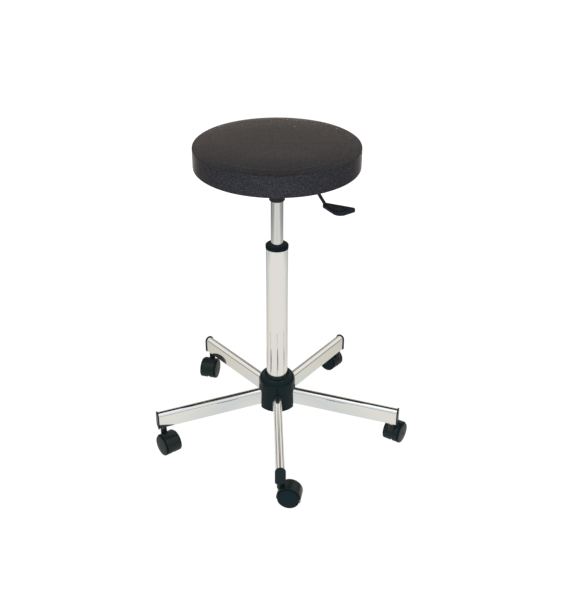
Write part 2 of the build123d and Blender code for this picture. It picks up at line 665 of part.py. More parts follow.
def make_castor_wheel(side):
    """Hollow wheel with a plain domed face; side is 1 for the wheel on +Y and -1 for the other."""
    bore = AXLE_RADIUS + RUN_CLEARANCE
    rim_inner = WHEEL_RADIUS - WHEEL_RIM
    face_inner = wheel_end - WHEEL_FACE
    groove_radius = WHEEL_RADIUS - WHEEL_GROOVE_DEPTH
    groove_end = hood_half + WHEEL_GROOVE_WIDTH
    flat_radius = WHEEL_RADIUS - WHEEL_BEVEL
    face_edge = wheel_end - WHEEL_DOME
    outline = Polyline(
        (0, wheel_end), (0, face_inner), (bore, face_inner), (bore, wheel_start), (WHEEL_HUB_RADIUS, wheel_start),
        (WHEEL_HUB_RADIUS, face_inner), (rim_inner, face_inner), (rim_inner, wheel_start),
        (WHEEL_RADIUS, wheel_start), (WHEEL_RADIUS, hood_half), (groove_radius, hood_half),
        (groove_radius, groove_end), (WHEEL_RADIUS, groove_end), (WHEEL_RADIUS, face_edge - WHEEL_BEVEL)
    )
    bevel = TangentArc(
        (WHEEL_RADIUS, face_edge - WHEEL_BEVEL), (flat_radius, face_edge), tangent=(0, 1)
    )
    dome_radius = (flat_radius ** 2 + WHEEL_DOME ** 2) / (2 * WHEEL_DOME)
    dome_angle = math.degrees(math.asin(flat_radius / dome_radius))
    dome = CenterArc((0, wheel_end - dome_radius), dome_radius, 90 - dome_angle, dome_angle)
    wheel = revolve(make_face(outline + bevel + dome), Axis.Y)
    if side < 0:
        wheel = mirror(wheel, Plane.XZ)
    return to_axle * wheel


def at_leg(index, shape):
    """Turns a shape made on the leg that points along +X to one leg's place."""
    return Rot(0, 0, leg_angles[index]) * shape


def at_castor(index, shape):
    """Moves a castor piece to its stem and turns it the way the castor trails."""
    stem = Vector(STEM_CIRCLE, 0, 0).rotate(Axis.Z, leg_angles[index])
    return Pos(stem) * Rot(0, 0, CASTOR_HEADINGS[index]) * shape


# All nodes by name
nodes = {
    "column_tube": make_column_tube(),
    "spindle_plate": make_spindle_plate(),
    "guide_bush": make_guide_bush(),
    "hub_cover": make_hub_cover(),
    "lower_race": make_race(race_low_z),
    "upper_race": make_race(race_high_z),
    "ball_cage": make_ball_cage(),
    "thrust_balls": make_thrust_balls(),
    "rubber_bumper": make_rubber_bumper(),
    "piston_rod": make_piston_rod(),
    "piston": make_piston(),
    "clip_washer": make_clip_washer(),
    "retaining_clip": make_retaining_clip(),
    "gas_cylinder": make_gas_cylinder(),
    "rod_gland": make_rod_gland(),
    "taper_socket": make_taper_socket(),
    "seat_plate": make_seat_plate(),
    "plate_bolts": make_plate_bolts(),
    "bolt_washers": make_bolt_washers(),
    "tee_nuts": make_tee_nuts(),
    "seat_board": make_seat_board(),
    "seat_cushion": make_seat_cushion(),
    "lever_bracket": make_lever_bracket(),
    "lever_pin": make_lever_pin(),
    "lever_arm": make_lever_arm(),
    "lever_paddle": make_lever_paddle(),
    "release_button": make_release_button(),
    "castor_stems": [at_leg(k, Pos(STEM_CIRCLE, 0, 0) * make_stem()) for k in range(LEG_COUNT)],
}

leg = make_leg()
end_cap = make_end_cap()
hood = make_castor_hood()
axle = make_castor_axle()
wheel_left = make_castor_wheel(1)
wheel_right = make_castor_wheel(-1)
for k in range(LEG_COUNT):
    number = k + 1
    nodes[f"leg_{number}"] = at_leg(k, leg)
    nodes[f"end_cap_{number}"] = at_leg(k, end_cap)
    nodes[f"castor_{number}_hood"] = at_castor(k, hood)
    nodes[f"castor_{number}_axle"] = at_castor(k, axle)
    nodes[f"castor_{number}_wheel_left"] = at_castor(k, wheel_left)
    nodes[f"castor_{number}_wheel_right"] = at_castor(k, wheel_right)

os.makedirs("parts", exist_ok=True)
for name, shape in nodes.items():
    solids = shape if isinstance(shape, list) else [shape]
    export_step(Compound(children=[s.solid() for s in solids], label=name), f"parts/{name}.step")

print("seat top", round(seat_top, 2), "lever pin height", round(lever_z, 2))
print("free travel down", round(socket_bottom - bush_top, 1), "stem seat", round(stem_seat_z, 2))
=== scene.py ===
"""Looks of a rolling stool: chromed star base, hooded castors, gas-spring column and a moulded foam seat.

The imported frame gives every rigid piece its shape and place. This script gives each one its finish, models
the legs and the foam seat anew, and sets up the floor, the light and the camera.
"""
import math

import bmesh
import bpy
from mathutils import Matrix, Vector, noise


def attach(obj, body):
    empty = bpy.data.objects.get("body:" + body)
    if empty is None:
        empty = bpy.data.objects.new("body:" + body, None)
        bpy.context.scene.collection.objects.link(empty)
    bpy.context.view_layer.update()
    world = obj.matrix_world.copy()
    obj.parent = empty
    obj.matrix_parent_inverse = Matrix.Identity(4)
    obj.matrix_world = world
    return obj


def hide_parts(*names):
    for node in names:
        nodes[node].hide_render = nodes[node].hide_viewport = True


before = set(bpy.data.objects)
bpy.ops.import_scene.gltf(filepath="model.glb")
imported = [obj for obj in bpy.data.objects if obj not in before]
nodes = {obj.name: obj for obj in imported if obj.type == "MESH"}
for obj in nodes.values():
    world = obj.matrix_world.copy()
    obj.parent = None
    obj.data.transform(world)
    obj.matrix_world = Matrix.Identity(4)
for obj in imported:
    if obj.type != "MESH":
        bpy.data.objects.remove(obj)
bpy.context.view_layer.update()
NUMBERS = range(1, 6)                   # of the legs and their castors


# Column tube
# Drawn steel tube that holds the gas spring and carries the legs. The welded base is ground, polished and
# plated with nickel and chromium, so it mirrors its surroundings with a little haze and waviness.
CHROME_COLOR = (0.80, 0.79, 0.77, 1.0)
CHROME_HAZE = (0.035, 0.065)            # roughness from clean to hazy
CHROME_HAZE_PER_M = 16.0
HAZE_SPREAD = (0.32, 0.7)               # part of the noise that goes from clean to hazy
CHROME_WAVE_PER_M = 6.0
CHROME_WAVE_STRENGTH = 0.012
CHROME_WAVE_HEIGHT = 0.01
SMOOTH_ANGLE = math.radians(32)         # edges that turn by more stay sharp
WELD_DISTANCE = 1e-5


def start_group(name, inputs, output):
    """Empty shader node group with one number as its output; gives back the tree and its two ends."""
    tree = bpy.data.node_groups.new(name, "ShaderNodeTree")
    for label, kind in inputs:
        tree.interface.new_socket(name=label, in_out="INPUT", socket_type="NodeSocket" + kind)
    tree.interface.new_socket(name=output, in_out="OUTPUT", socket_type="NodeSocketFloat")
    return tree, tree.nodes.new("NodeGroupInput"), tree.nodes.new("NodeGroupOutput")


def add_node(tree, kind, values=None, **settings):
    """Adds a node, sets its properties, and sets or links the inputs given by name or number."""
    node = tree.nodes.new("ShaderNode" + kind)
    for key, value in settings.items():
        setattr(node, key, value)
    for key, value in (values or {}).items():
        if isinstance(value, bpy.types.NodeSocket):
            tree.links.new(value, node.inputs[key])
        else:
            node.inputs[key].default_value = value
    return node


def object_place(tree):
    """Socket with the place on the piece, in metres in the stool's own frame."""
    return add_node(tree, "TexCoord").outputs["Object"]


def map_range(tree, value, source, target=(0.0, 1.0)):
    """Socket that goes from one end of target to the other while value goes over source, and stays there."""
    node = add_node(
        tree, "MapRange",
        {"Value": value, "From Min": source[0], "From Max": source[1],
         "To Min": target[0], "To Max": target[1]}
    )
    return node.outputs["Result"]


def make_haze_group():
    """Uneven roughness of a handled or polished surface, between two values."""
    inputs = [("Per metre", "Float"), ("Low", "Float"), ("High", "Float")]
    tree, start, end = start_group("surface_haze", inputs, "Roughness")
    cloud = add_node(
        tree, "TexNoise",
        {"Vector": object_place(tree), "Scale": start.outputs["Per metre"], "Detail": 5.0, "Roughness": 0.62}
    )
    limits = (start.outputs["Low"], start.outputs["High"])
    tree.links.new(map_range(tree, cloud.outputs["Fac"], HAZE_SPREAD, limits), end.inputs["Roughness"])
    return tree


surface_haze = make_haze_group()


def start_material(name, color, metallic=0.0):
    """New material with the shader's plain values set; gives back the material, its tree and the shader."""
    material = bpy.data.materials.new(name)
    material.use_nodes = True
    tree = material.node_tree
    shader = tree.nodes["Principled BSDF"]
    shader.inputs["Base Color"].default_value = color
    shader.inputs["Metallic"].default_value = metallic
    return material, tree, shader


def add_haze(tree, shader, per_metre, haze):
    """Gives a shader uneven roughness, from the first value of haze to the second."""
    values = {"Per metre": per_metre, "Low": haze[0], "High": haze[1]}
    group = add_node(tree, "Group", values, node_tree=surface_haze)
    tree.links.new(group.outputs["Roughness"], shader.inputs["Roughness"])


def add_bump(tree, shader, height, strength, distance):
    """Gives a shader a bump from a height socket; distance is the height's full size in metres."""
    bump = add_node(tree, "Bump", {"Height": height, "Strength": strength, "Distance": distance})
    tree.links.new(bump.outputs["Normal"], shader.inputs["Normal"])


def shade_smooth(piece):
    """Shades a piece smooth, without touching its shape."""
    piece.data.polygons.foreach_set("use_smooth", [True] * len(piece.data.polygons))


def keep_sharp_edges(piece):
    """Keeps the sharp edges of a smooth piece sharp."""
    split = piece.modifiers.new("keep_sharp_edges", "EDGE_SPLIT")
    split.split_angle = SMOOTH_ANGLE


def dress(names, material):
    """Puts a material on CAD nodes and shades them smooth between their sharp edges."""
    for name in names:
        piece = nodes[name]
        piece.data.materials.clear()
        piece.data.materials.append(material)
        shade_smooth(piece)
        weld = piece.modifiers.new("join_corners", "WELD")
        weld.merge_threshold = WELD_DISTANCE
        keep_sharp_edges(piece)


def make_chrome():
    """Bright chrome plate over polished tube."""
    material, tree, shader = start_material("chrome_plate", CHROME_COLOR, metallic=1.0)
    add_haze(tree, shader, CHROME_HAZE_PER_M, CHROME_HAZE)
    wave = add_node(
        tree, "TexNoise", {"Vector": object_place(tree), "Scale": CHROME_WAVE_PER_M, "Detail": 1.0}
    )
    add_bump(tree, shader, wave.outputs["Fac"], CHROME_WAVE_STRENGTH, CHROME_WAVE_HEIGHT)
    return material


chrome_plate = make_chrome()
dress(["column_tube"], chrome_plate)


# Legs
# Steel tube with flat sides and a half-round top, falling slightly to the tip. Each leg is cut to fit the
# foot of the column, welded to it and plated with it. Sizes are in metres.
LEG_HALF = 0.010                        # half the width
LEG_HEIGHT = 0.040
LEG_WALL = 0.0015
LEG_CORNER = 0.0025
LEG_END = 0.2955
LEG_TIP_Z = 0.0626
LEG_SLOPE = math.tan(math.radians(2.5))
FIRST_LEG_TURN = math.pi                # from +Y, where each leg is drawn, to the front
LEG_TURN = math.radians(72)             # from one leg to the next
COLUMN_RADIUS = 0.025
TOP_STEPS = 20                          # of each quarter round
CORNER_STEPS = 6


def place_mesh(mesh, name):
    """Puts a finished bmesh in the scene as an object."""
    data = bpy.data.meshes.new(name)
    mesh.to_mesh(data)
    mesh.free()
    piece = bpy.data.objects.new(name, data)
    bpy.context.scene.collection.objects.link(piece)
    return piece


def make_leg(number):
    """One leg: a rectangle with rounded corners, drawn in from the tip, cut round the column, with a wall."""
    mesh = bmesh.new()
    section = ((-LEG_HALF, 0.0), (LEG_HALF, 0.0), (LEG_HALF, LEG_HEIGHT), (-LEG_HALF, LEG_HEIGHT))
    corners = [mesh.verts.new((across, LEG_END, above)) for across, above in section]
    mesh.faces.new(corners)
    for pair, radius, steps in ((corners[:2], LEG_CORNER, CORNER_STEPS), (corners[2:], LEG_HALF, TOP_STEPS)):
        bmesh.ops.bevel(
            mesh, geom=pair, offset=radius, affect="VERTICES", segments=steps, profile=0.5, material=-1
        )
    bmesh.ops.remove_doubles(mesh, verts=mesh.verts, dist=WELD_DISTANCE)
    bmesh.ops.delete(mesh, geom=list(mesh.faces), context="FACES_ONLY")
    drawn = bmesh.ops.extrude_edge_only(mesh, edges=list(mesh.edges))
    for vert in drawn["geom"]:
        if isinstance(vert, bmesh.types.BMVert):
            vert.co.y = math.sqrt(COLUMN_RADIUS ** 2 - vert.co.x ** 2)
    for vert in mesh.verts:
        vert.co.z += LEG_TIP_Z + (LEG_END - vert.co.y) * LEG_SLOPE
    turn = Matrix.Rotation(FIRST_LEG_TURN + LEG_TURN * (number - 1), 3, "Z")
    bmesh.ops.rotate(mesh, verts=mesh.verts, cent=(0, 0, 0), matrix=turn)
    bmesh.ops.recalc_face_normals(mesh, faces=mesh.faces)
    piece = place_mesh(mesh, f"leg_tube_{number}")
    shade_smooth(piece)
    wall = piece.modifiers.new("tube_wall", "SOLIDIFY")
    wall.thickness = LEG_WALL
    keep_sharp_edges(piece)
    return piece


for n in NUMBERS:
    leg_tube = make_leg(n)
    leg_tube.data.materials.append(chrome_plate)
    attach(leg_tube, "base")
    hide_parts(f"leg_{n}")


# Hub cover
# Injection-moulded bell that hides the welds. It is slipped over the column before the gas spring goes in,
# and has the glossy finish of a polished mould.
HUB_COLOR = (0.003, 0.010, 0.0105, 1.0)
HUB_SPECULAR = 0.13
HUB_HAZE = (0.06, 0.12)
HUB_HAZE_PER_M = 55.0


def make_hub_plastic():
    """Glossy black moulded plastic with a trace of handling haze."""
    material, tree, shader = start_material("gloss_moulded_black", HUB_COLOR)
    shader.inputs["Specular IOR Level"].default_value = HUB_SPECULAR
    add_haze(tree, shader, HUB_HAZE_PER_M, HUB_HAZE)
    return material


dress(["hub_cover"], make_hub_plastic())


# End caps and guide bush
# Moulded polyamide. The caps are driven into the legs and have the fine even grain of a spark-eroded mould.
# The bush is pressed into the mouth of the column and is smoother.
CAP_COLOR = (0.005, 0.011, 0.013, 1.0)
BUSH_SPECULAR = 0.03
SPARK_GRAIN_PER_M = 1400.0
PLASTIC_SPECULAR = 0.16                 # oily, slightly dulled skin of dyed black plastic
PLASTIC_HAZE_PER_M = 60.0
GRAIN_ROUNDNESS = 0.4
GRAIN_STRENGTH = 0.5


def add_math(tree, operation, *values):
    """Socket with the result of a calculation on numbers or other sockets."""
    return add_node(tree, "Math", dict(enumerate(values)), operation=operation).outputs[0]


def make_grain_group():
    """Fine grain of a spark-eroded or pebbled mould, as a height from 0 to 1."""
    inputs = [("Grains per metre", "Float"), ("Roundness", "Float")]
    tree, start, end = start_group("mould_grain", inputs, "Height")
    spacing = {"Vector": object_place(tree), "Scale": start.outputs["Grains per metre"]}
    cells = add_node(
        tree, "TexVoronoi", {**spacing, "Smoothness": start.outputs["Roundness"]}, feature="SMOOTH_F1"
    )
    fine = add_node(tree, "TexNoise", {**spacing, "Detail": 3.0})
    dome = add_math(tree, "SUBTRACT", 1.0, cells.outputs["Distance"])
    tree.links.new(add_math(tree, "MULTIPLY", dome, fine.outputs["Fac"]), end.inputs["Height"])
    return tree


mould_grain = make_grain_group()


def make_moulded(name, color, haze, grain_per_m, grain_depth, specular=PLASTIC_SPECULAR):
    """Moulded plastic or rubber with a fine grain and uneven sheen."""
    material, tree, shader = start_material(name, color)
    shader.inputs["Specular IOR Level"].default_value = specular
    add_haze(tree, shader, PLASTIC_HAZE_PER_M, haze)
    values = {"Grains per metre": grain_per_m, "Roundness": GRAIN_ROUNDNESS}
    grain = add_node(tree, "Group", values, node_tree=mould_grain)
    add_bump(tree, shader, grain.outputs["Height"], GRAIN_STRENGTH, grain_depth)
    return material


spark_black = make_moulded(
    "spark_moulded_black", CAP_COLOR, haze=(0.34, 0.46), grain_per_m=SPARK_GRAIN_PER_M, grain_depth=0.0001
)
bush_black = make_moulded(
    "bush_moulded_black", CAP_COLOR, haze=(0.16, 0.24), grain_per_m=SPARK_GRAIN_PER_M, grain_depth=0.00002,
    specular=BUSH_SPECULAR
)
dress([f"end_cap_{n}" for n in NUMBERS], spark_black)
dress(["guide_bush"], bush_black)


# Castors
# The hood is one moulding of black polyamide with the round web and the stem boss. The wheels are hollow
# mouldings that turn on a steel axle, and the hood swivels on a steel stem held by the leg's end cap.
HOOD_COLOR = (0.007, 0.013, 0.011, 1.0)
HOOD_SPECULAR = 0.2
WHEEL_COLOR = (0.006, 0.014, 0.016, 1.0)
WHEEL_SPECULAR = 0.06
CASTOR_GRAIN_PER_M = 1700.0
STEEL_COLOR = (0.50, 0.51, 0.53, 1.0)
STEEL_HAZE_PER_M = 70.0
LINES_STRENGTH = 0.15
LINES_DEPTH = 0.00005


def make_lines_group():
    """Marks of turning or drawing: noise drawn out along one direction, as a height from 0 to 1."""
    tree, start, end = start_group("tool_lines", [("Per metre", "Vector")], "Height")
    drawn = add_node(
        tree, "VectorMath", {0: object_place(tree), 1: start.outputs["Per metre"]}, operation="MULTIPLY"
    )
    lines = add_node(tree, "TexNoise", {"Vector": drawn.outputs[0], "Scale": 1.0, "Detail": 4.0})
    tree.links.new(lines.outputs["Fac"], end.inputs["Height"])
    return tree


tool_lines = make_lines_group()


def make_steel(name, color, haze, lines_per_m):
    """Bare or plated steel with the marks of its making."""
    material, tree, shader = start_material(name, color, metallic=1.0)
    add_haze(tree, shader, STEEL_HAZE_PER_M, haze)
    marks = add_node(tree, "Group", {"Per metre": lines_per_m}, node_tree=tool_lines)
    add_bump(tree, shader, marks.outputs["Height"], LINES_STRENGTH, LINES_DEPTH)
    return material


hood_black = make_moulded(
    "hood_moulded_black", HOOD_COLOR, haze=(0.28, 0.36), grain_per_m=CASTOR_GRAIN_PER_M, grain_depth=0.00006,
    specular=HOOD_SPECULAR
)
wheel_black = make_moulded(
    "wheel_moulded_black", WHEEL_COLOR, haze=(0.20, 0.28), grain_per_m=CASTOR_GRAIN_PER_M,
    grain_depth=0.00002, specular=WHEEL_SPECULAR
)
turned_steel = make_steel("turned_steel", STEEL_COLOR, haze=(0.25, 0.38), lines_per_m=(60.0, 60.0, 2500.0))
for n in NUMBERS:
    dress([f"castor_{n}_hood"], hood_black)
    dress([f"castor_{n}_wheel_left", f"castor_{n}_wheel_right"], wheel_black)
    dress([f"castor_{n}_axle"], turned_steel)
dress(["castor_stems"], turned_steel)


# Gas spring and its thrust bearing
# Ground and polished steel cylinder that slides in the bush. Its rod stands on a ball bearing in the foot of
# the column, so the seat turns. Gland, piston and ball cage are natural plastic, and the end stop is rubber.
CYLINDER_COLOR = (0.71, 0.70, 0.69, 1.0)
NATURAL_COLOR = (0.60, 0.59, 0.55, 1.0)
RUBBER_COLOR = (0.020, 0.020, 0.021, 1.0)

ground_cylinder = make_steel(
    "ground_cylinder", CYLINDER_COLOR, haze=(0.09, 0.16), lines_per_m=(30.0, 30.0, 1800.0)
)
natural_plastic = make_moulded(
    "natural_moulded", NATURAL_COLOR, haze=(0.4, 0.5), grain_per_m=1500.0, grain_depth=0.00008
)
bumper_rubber = make_moulded(
    "bumper_rubber", RUBBER_COLOR, haze=(0.65, 0.8), grain_per_m=900.0, grain_depth=0.00015
)
dress(["gas_cylinder"], ground_cylinder)
dress(["rod_gland", "piston", "ball_cage"], natural_plastic)
dress(["rubber_bumper"], bumper_rubber)
dress(["spindle_plate", "lower_race", "upper_race", "thrust_balls"], turned_steel)
dress(["piston_rod", "clip_washer", "retaining_clip"], turned_steel)


# Socket, seat plate and fasteners
# The socket is welded into the pan of the pressed plate and both are sprayed satin black. Zinc-plated bolts
# and washers hold the plate to the tee nuts in the seat board.
PAINT_COLOR = (0.013, 0.013, 0.014, 1.0)
PAINT_HAZE = (0.28, 0.42)
PAINT_HAZE_PER_M = 45.0
PEEL_PER_M = 650.0
PEEL_STRENGTH = 0.12
PEEL_DEPTH = 0.0003
ZINC_COLOR = (0.60, 0.61, 0.60, 1.0)


def make_satin_paint():
    """Sprayed satin black with a little orange peel."""
    material, tree, shader = start_material("satin_black_paint", PAINT_COLOR)
    shader.inputs["Specular IOR Level"].default_value = PLASTIC_SPECULAR
    add_haze(tree, shader, PAINT_HAZE_PER_M, PAINT_HAZE)
    peel = add_node(tree, "TexNoise", {"Vector": object_place(tree), "Scale": PEEL_PER_M, "Detail": 1.0})
    add_bump(tree, shader, peel.outputs["Fac"], PEEL_STRENGTH, PEEL_DEPTH)
    return material


satin_paint = make_satin_paint()
zinc_plate = make_steel("zinc_plate", ZINC_COLOR, haze=(0.3, 0.45), lines_per_m=(900.0, 900.0, 900.0))
dress(["taper_socket", "seat_plate", "lever_bracket"], satin_paint)
dress(["plate_bolts", "bolt_washers", "tee_nuts"], zinc_plate)


# Lever and valve button
# Bent steel bar, painted with the plate, that turns on a pin through the bracket and presses the valve
# button. A black plastic paddle is moulded on its end.
PADDLE_COLOR = (0.006, 0.011, 0.016, 1.0)

paddle_black = make_moulded(
    "paddle_moulded_black", PADDLE_COLOR, haze=(0.30, 0.40), grain_per_m=1300.0, grain_depth=0.0001
)
dress(["lever_arm"], satin_paint)
dress(["lever_paddle"], paddle_black)
dress(["lever_pin", "release_button"], turned_steel)


# Seat board
# Round of birch plywood inside the foam, drilled for the tee nuts. Its plain underside shows between the
# plate and the foam's foot.
PLY_PALE = (0.66, 0.50, 0.32, 1.0)
PLY_DARK = (0.46, 0.31, 0.17, 1.0)
PLY_LINES_PER_M = (9.0, 140.0, 140.0)
PLY_HAZE = (0.5, 0.68)
PLY_HAZE_PER_M = 90.0


def mix_colors(tree, share, first, second, blend_type="MIX"):
    """Socket with a colour between two others, or another blend of them."""
    values = {"Factor": share, "A": first, "B": second}
    return add_node(tree, "Mix", values, data_type="RGBA", blend_type=blend_type).outputs["Result"]


def make_plywood():
    """Rotary-cut birch veneer: long soft grain across the board."""
    material, tree, shader = start_material("birch_plywood", PLY_PALE)
    marks = add_node(tree, "Group", {"Per metre": PLY_LINES_PER_M}, node_tree=tool_lines)
    tone = mix_colors(tree, marks.outputs["Height"], PLY_DARK, PLY_PALE)
    tree.links.new(tone, shader.inputs["Base Color"])
    add_haze(tree, shader, PLY_HAZE_PER_M, PLY_HAZE)
    return material


dress(["seat_board"], make_plywood())


# Foam seat
# One moulding of firm polyurethane foam around the board, with a tough grained skin. The top is slightly
# crowned, a fine raised line runs round it near the edge, and the edges are nearly square.
SEAT_TOP = 0.73101
SEAT_STEPS = 96
SEAT_LEVELS = 2                         # of rounding
MM_PER_M = 1000.0
FOAM_SWELL = 0.00022                    # uneven shrinkage of the foam
FOAM_SWELL_PER_M = 17.0
# Light specks of the skin: partly its own mottled tone, partly painted glints off the grain
SKIN_SPECK_AND_GLINT = (0.070, 0.066, 0.068, 1.0)
SKIN_DARK = (0.014, 0.013, 0.015, 1.0)
SKIN_SPECULAR = 0.04
SKIN_HAZE = (0.22, 0.30)
SKIN_HAZE_PER_M = 30.0
SKIN_GRAIN_PER_M = 450.0
SKIN_GRAIN_ROUNDNESS = 0.5
SKIN_GRAIN_STRENGTH = 0.5
SKIN_GRAIN_DEPTH = 0.001
SHEEN_COLOR = (1.0, 0.80, 0.66, 1.0)
SHEEN_WEIGHT = 0.10
SHEEN_ROUGHNESS = 0.4
SPECKLE_PER_M = 560.0
SPECKLE_SPREAD = (0.45, 0.70)           # part of the noise that goes from dark to light specks, which are partly painted glints
# Half section as distance from the axis and depth under the seat's top, in millimetres
SEAT_SECTION = (
    (0.0, 0.0), (40.0, 0.0), (70.0, 0.05), (95.0, 0.3), (110.0, 0.7), (125.0, 1.3), (138.0, 2.0),
    (147.0, 2.6), (150.5, 2.95), (152.5, 2.85), (154.5, 3.0), (158.0, 3.45), (164.0, 4.1), (168.0, 4.6),
    (172.0, 5.15), (175.6, 5.7), (177.6, 6.4), (178.5, 8.0), (178.6, 10.5), (178.6, 20.0), (178.6, 30.0),
    (178.6, 40.0), (178.6, 48.0), (178.5, 50.6), (177.6, 51.9), (175.0, 52.3), (168.0, 52.9), (160.0, 53.4),
    (150.0, 53.5), (148.2, 53.5), (148.2, 53.0), (148.2, 38.0), (147.0, 37.6), (70.0, 37.6), (0.0, 37.6),
)


def make_foam_seat():
    """Turns the half section round the column's axis and gives it the foam's slight unevenness."""
    mesh = bmesh.new()
    section = [mesh.verts.new((r / MM_PER_M, 0.0, SEAT_TOP - depth / MM_PER_M)) for r, depth in SEAT_SECTION]
    edges = [mesh.edges.new(pair) for pair in zip(section, section[1:])]
    bmesh.ops.spin(
        mesh, geom=section + edges, cent=(0, 0, 0), axis=(0, 0, 1), angle=2 * math.pi, steps=SEAT_STEPS,
        use_merge=True, use_duplicate=False
    )
    bmesh.ops.remove_doubles(mesh, verts=mesh.verts, dist=WELD_DISTANCE)
    bmesh.ops.recalc_face_normals(mesh, faces=mesh.faces)
    for vert in mesh.verts:
        vert.co.z += FOAM_SWELL * noise.noise(vert.co * FOAM_SWELL_PER_M)
    piece = place_mesh(mesh, "foam_seat")
    shade_smooth(piece)
    rounding = piece.modifiers.new("rounding", "SUBSURF")
    rounding.levels = SEAT_LEVELS
    rounding.render_levels = SEAT_LEVELS
    return piece


def make_foam_skin():
    """Grained skin of the foam: pebbles about two millimetres across, cloudy tone with light specks that are
    partly painted glints off the grain, and a dull sheen.
    """
    material, tree, shader = start_material("foam_skin", SKIN_SPECK_AND_GLINT)
    shader.inputs["Specular IOR Level"].default_value = SKIN_SPECULAR
    shader.inputs["Sheen Weight"].default_value = SHEEN_WEIGHT
    shader.inputs["Sheen Roughness"].default_value = SHEEN_ROUGHNESS
    shader.inputs["Sheen Tint"].default_value = SHEEN_COLOR
    cloud = add_node(
        tree, "TexNoise",
        {"Vector": object_place(tree), "Scale": SPECKLE_PER_M, "Detail": 3.0, "Roughness": 0.7}
    )
    # Mottled tone whose light specks partly stand for painted glints off the grain
    speckle_and_glint = map_range(tree, cloud.outputs["Fac"], SPECKLE_SPREAD)
    tree.links.new(mix_colors(tree, speckle_and_glint, SKIN_DARK, SKIN_SPECK_AND_GLINT), shader.inputs["Base Color"])
    add_haze(tree, shader, SKIN_HAZE_PER_M, SKIN_HAZE)
    values = {"Grains per metre": SKIN_GRAIN_PER_M, "Roundness": SKIN_GRAIN_ROUNDNESS}
    grain = add_node(tree, "Group", values, node_tree=mould_grain)
    add_bump(tree, shader, grain.outputs["Height"], SKIN_GRAIN_STRENGTH, SKIN_GRAIN_DEPTH)
    return material


foam_seat = make_foam_seat()
foam_seat.data.materials.append(make_foam_skin())
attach(foam_seat, "seat")
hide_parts("seat_cushion")


# Floor
# A white paper sweep under the stool. The camera sees it nearly white, with a faint shadow. Mirrors see
# painted
# light and shade on it: lit paper in front with a painted pool of cool lamp light, a painted shadow of the
# stool in a band behind it, painted shade to both sides, and painted cool light in a ring round the column.
FLOOR_RADIUS = 14.0
FLOOR_STEPS = 96
FLOOR_COLOR = (0.60, 0.60, 0.60, 1.0)
FLOOR_ROUGHNESS = 0.9
FLOOR_GLOW = 0.84                       # share of plain light where the camera sees the paper
GLOW_LEVEL = (1.16, 1.24)               # its level under the stool and a few metres off
GLOW_REACH = (0.8, 2.5)                 # distances from the column over which it rises
PAPER_DEPTH = (-1.5, 2.5)               # front and back ends of the bands below
PAPER_LIGHT_AND_SHADOW_BANDS = (                         # share of the way from front to back, and the painted light or shadow that mirrors see there
    (0.00, (0.93, 0.91, 0.87)), (0.30, (0.91, 0.90, 0.86)), (0.375, (0.88, 0.87, 0.83)),
    (0.41, (0.80, 0.79, 0.73)), (0.445, (0.72, 0.70, 0.62)), (0.49, (0.64, 0.70, 0.74)),
    (0.54, (0.62, 0.67, 0.70)), (0.58, (0.30, 0.28, 0.25)), (0.71, (0.30, 0.29, 0.27)),
    (0.78, (0.86, 0.86, 0.87)), (1.00, (0.90, 0.90, 0.90)),
)
PAPER_SIDE = (0.85, 1.2)                # sideways distance over which painted shade darkens the paper
PAPER_SIDE_SHADE = 0.5
LAMP_POOL_MIDDLE = (0.0, -1.4, 0.0)          # middle of the painted pool of cool light from the lamp by the camera
LAMP_POOL_REACH = (0.32, 0.48)
LAMP_POOL_COLOR = (0.73, 0.86, 0.92, 1.0)
COOL_REACH = 0.5                        # distance from the column that the painted cool light covers
COOL_LIGHT_BANDS = (                          # share of that distance, and how strongly painted cool light tints the paper there
    (0.00, (0.0, 0.0, 0.0)), (0.16, (0.1, 0.1, 0.1)), (0.30, (0.6, 0.6, 0.6)), (0.52, (0.0, 0.0, 0.0)),
    (1.00, (0.0, 0.0, 0.0)),
)
# Colour of the painted cool light near the column
PAPER_COOL_LIGHT = (0.66, 0.74, 0.78, 1.0)


def add_ray_kinds(tree):
    """Two sockets: 1 for rays from the camera, and 1 for rays off a mirror or through glass."""
    path = add_node(tree, "LightPath")
    mirrors = add_math(tree, "MAXIMUM", path.outputs["Is Glossy Ray"], path.outputs["Is Transmission Ray"])
    return path.outputs["Is Camera Ray"], mirrors


def add_ramp(tree, value, bands):
    """Colour ramp over a socket from positions and colours."""
    ramp = add_node(tree, "ValToRGB", {0: value})
    stops = ramp.color_ramp.elements
    for position, color in bands[1:-1]:
        stops.new(position).color = (*color, 1.0)
    for stop, (position, color) in ((stops[0], bands[0]), (stops[-1], bands[-1])):
        stop.position = position
        stop.color = (*color, 1.0)
    return ramp.outputs["Color"]


